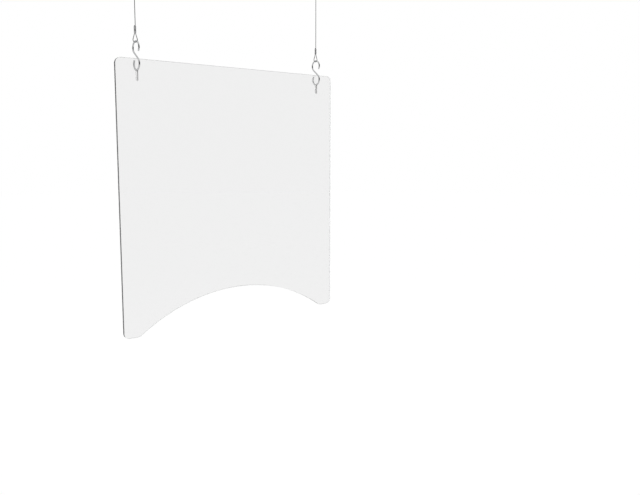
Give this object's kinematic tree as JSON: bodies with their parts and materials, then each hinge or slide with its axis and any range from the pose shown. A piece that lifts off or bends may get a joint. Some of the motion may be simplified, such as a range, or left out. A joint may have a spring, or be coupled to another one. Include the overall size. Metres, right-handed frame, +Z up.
{
  "type": "hanging safety screen",
  "caption": "Clear acrylic safety screen with an arched pass-through, hung from the ceiling on S-hooks and short wire ropes with crimped eyes.",
  "frame": {"origin": "on the ceiling plane, midway between the two screw hooks", "axes": "+X along the screen's width, -Y to the front, +Z up"},
  "size_m": [0.603, 0.032, 0.8865],
  "materials": {
    "clear_acrylic": "clear cast acrylic sheet with polished edges",
    "hook_steel": "bright zinc-plated bent wire",
    "rope_steel": "stranded stainless wire rope",
    "ferrule_metal": "crimped aluminium sleeve, dull",
    "plate_steel": "pressed zinc-plated plate"
  },
  "bodies": {
    "ceiling_fittings": {"left_ceiling_plate": "plate_steel", "left_ceiling_hook": "hook_steel", "right_ceiling_plate": "plate_steel", "right_ceiling_hook": "hook_steel"},
    "left_rope_top": {"left_upper_eye": "rope_steel", "left_upper_ferrule": "ferrule_metal"},
    "left_rope": {"left_cable": "rope_steel", "left_lower_ferrule": "ferrule_metal", "left_lower_eye": "rope_steel"},
    "left_hook": {"left_s_hook": "hook_steel"},
    "right_rope_top": {"right_upper_eye": "rope_steel", "right_upper_ferrule": "ferrule_metal"},
    "right_rope": {"right_cable": "rope_steel", "right_lower_ferrule": "ferrule_metal", "right_lower_eye": "rope_steel"},
    "right_hook": {"right_s_hook": "hook_steel"},
    "screen": {"screen_panel": "clear_acrylic"}
  },
  "joints": [
    {"name": "left_rope_swing", "type": "hinge", "parent": "ceiling_fittings", "child": "left_rope_top", "pos_m": [-0.252, 0, -0.03275], "axis": [1, 0, 0], "range_deg": [-30, 30]},
    {"name": "left_rope_sway", "type": "hinge", "parent": "left_rope_top", "child": "left_rope", "pos_m": [-0.252, 0, -0.06292], "axis": [0, 1, 0], "range_deg": [-15, 15]},
    {"name": "left_hook_sway", "type": "hinge", "parent": "left_rope", "child": "left_hook", "pos_m": [-0.252, 0, -0.22312], "axis": [0, 1, 0], "range_deg": [-15, 15]},
    {"name": "right_rope_swing", "type": "hinge", "parent": "ceiling_fittings", "child": "right_rope_top", "pos_m": [0.252, 0, -0.03275], "axis": [1, 0, 0], "range_deg": [-30, 30]},
    {"name": "right_rope_sway", "type": "hinge", "parent": "right_rope_top", "child": "right_rope", "pos_m": [0.252, 0, -0.06292], "axis": [0, 1, 0], "range_deg": [-15, 15]},
    {"name": "right_hook_sway", "type": "hinge", "parent": "right_rope", "child": "right_hook", "pos_m": [0.252, 0, -0.22312], "axis": [0, 1, 0], "range_deg": [-15, 15]},
    {"name": "screen_tilt", "type": "hinge", "parent": "left_hook", "child": "screen", "pos_m": [-0.252, 0, -0.27052], "axis": [1, 0, 0], "range_deg": [-20, 20]}
  ],
  "couplings": [
    {"joint": "left_hook_sway", "follows": "left_rope_sway", "ratio": -1},
    {"joint": "right_hook_sway", "follows": "left_rope_sway", "ratio": -1},
    {"joint": "right_rope_swing", "follows": "left_rope_swing", "ratio": 1},
    {"joint": "right_rope_sway", "follows": "left_rope_sway", "ratio": 1}
  ]
}
